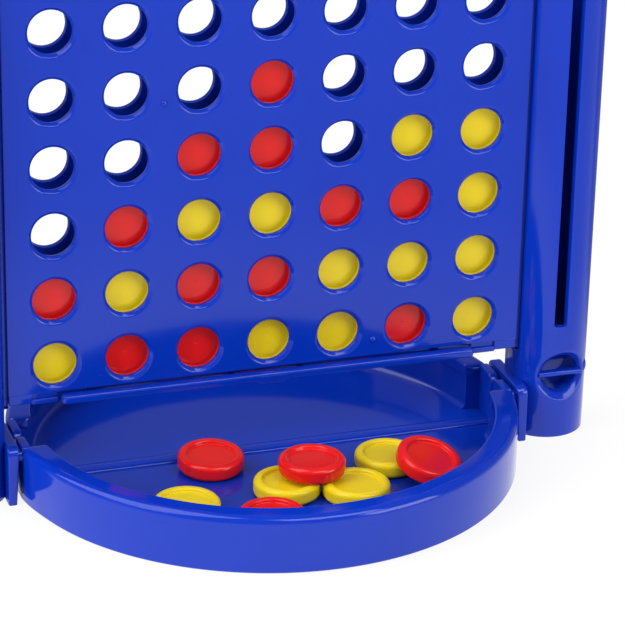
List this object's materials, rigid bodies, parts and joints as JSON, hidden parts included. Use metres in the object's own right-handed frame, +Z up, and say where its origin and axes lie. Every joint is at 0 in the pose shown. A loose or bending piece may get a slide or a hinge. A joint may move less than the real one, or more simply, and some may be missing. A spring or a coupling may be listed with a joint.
{
  "type": "four in a row frame",
  "caption": "Upright blue game grid between two disc towers, with a push bar that drops the discs into half-round folding trays.",
  "frame": {"origin": "on the table, under the middle of the grid", "axes": "+X along the grid to the right, +Y to the rear, +Z up"},
  "size_m": [0.192, 0.142, 0.1407],
  "materials": {
    "blue_plastic": "gloss",
    "red_plastic": "satin",
    "yellow_plastic": "satin"
  },
  "bodies": {
    "frame": {"front_panel": "blue_plastic", "rear_panel": "blue_plastic", "column_dividers": "blue_plastic", "left_tower": "blue_plastic", "right_tower": "blue_plastic"},
    "release_bar": {"release_bar": "blue_plastic"},
    "front_tray": {"front_tray": "blue_plastic", "tray_disc_1": "red_plastic", "tray_disc_2": "yellow_plastic", "tray_disc_3": "yellow_plastic", "tray_disc_4": "red_plastic", "tray_disc_5": "yellow_plastic", "tray_disc_6": "red_plastic", "tray_disc_7": "yellow_plastic", "tray_disc_8": "red_plastic"},
    "rear_tray": {"rear_tray": "blue_plastic"},
    "disc_stack_1": {"disc_c1_r1": "yellow_plastic", "disc_c1_r2": "red_plastic"},
    "disc_stack_2": {"disc_c2_r1": "red_plastic", "disc_c2_r2": "yellow_plastic", "disc_c2_r3": "red_plastic"},
    "disc_stack_3": {"disc_c3_r1": "red_plastic", "disc_c3_r2": "red_plastic", "disc_c3_r3": "yellow_plastic", "disc_c3_r4": "red_plastic"},
    "disc_stack_4": {"disc_c4_r1": "yellow_plastic", "disc_c4_r2": "red_plastic", "disc_c4_r3": "yellow_plastic", "disc_c4_r4": "red_plastic", "disc_c4_r5": "red_plastic"},
    "disc_stack_5": {"disc_c5_r1": "yellow_plastic", "disc_c5_r2": "yellow_plastic", "disc_c5_r3": "red_plastic"},
    "disc_stack_6": {"disc_c6_r1": "red_plastic", "disc_c6_r2": "yellow_plastic", "disc_c6_r3": "red_plastic", "disc_c6_r4": "yellow_plastic"},
    "disc_stack_7": {"disc_c7_r1": "yellow_plastic", "disc_c7_r2": "yellow_plastic", "disc_c7_r3": "yellow_plastic", "disc_c7_r4": "yellow_plastic"}
  },
  "joints": [
    {"name": "front_tray_hinge", "type": "hinge", "parent": "frame", "child": "front_tray", "pos_m": [0, -0.0083, 0.0134], "axis": [-1, 0, 0], "range_deg": [0, 90]},
    {"name": "rear_tray_hinge", "type": "hinge", "parent": "frame", "child": "rear_tray", "pos_m": [0, 0.0083, 0.0134], "axis": [1, 0, 0], "range_deg": [0, 90]},
    {"name": "release_bar_slide", "type": "slide", "parent": "frame", "child": "release_bar", "axis": [0, 1, 0], "range_m": [0, 0.00335]},
    {"name": "disc_stack_1_lift", "type": "slide", "parent": "frame", "child": "disc_stack_1", "axis": [0, 0, 1], "range_m": [0, 0.115]},
    {"name": "disc_stack_2_lift", "type": "slide", "parent": "frame", "child": "disc_stack_2", "axis": [0, 0, 1], "range_m": [0, 0.115]},
    {"name": "disc_stack_3_lift", "type": "slide", "parent": "frame", "child": "disc_stack_3", "axis": [0, 0, 1], "range_m": [0, 0.115]},
    {"name": "disc_stack_4_lift", "type": "slide", "parent": "frame", "child": "disc_stack_4", "axis": [0, 0, 1], "range_m": [0, 0.115]},
    {"name": "disc_stack_5_lift", "type": "slide", "parent": "frame", "child": "disc_stack_5", "axis": [0, 0, 1], "range_m": [0, 0.115]},
    {"name": "disc_stack_6_lift", "type": "slide", "parent": "frame", "child": "disc_stack_6", "axis": [0, 0, 1], "range_m": [0, 0.115]},
    {"name": "disc_stack_7_lift", "type": "slide", "parent": "frame", "child": "disc_stack_7", "axis": [0, 0, 1], "range_m": [0, 0.115]}
  ]
}
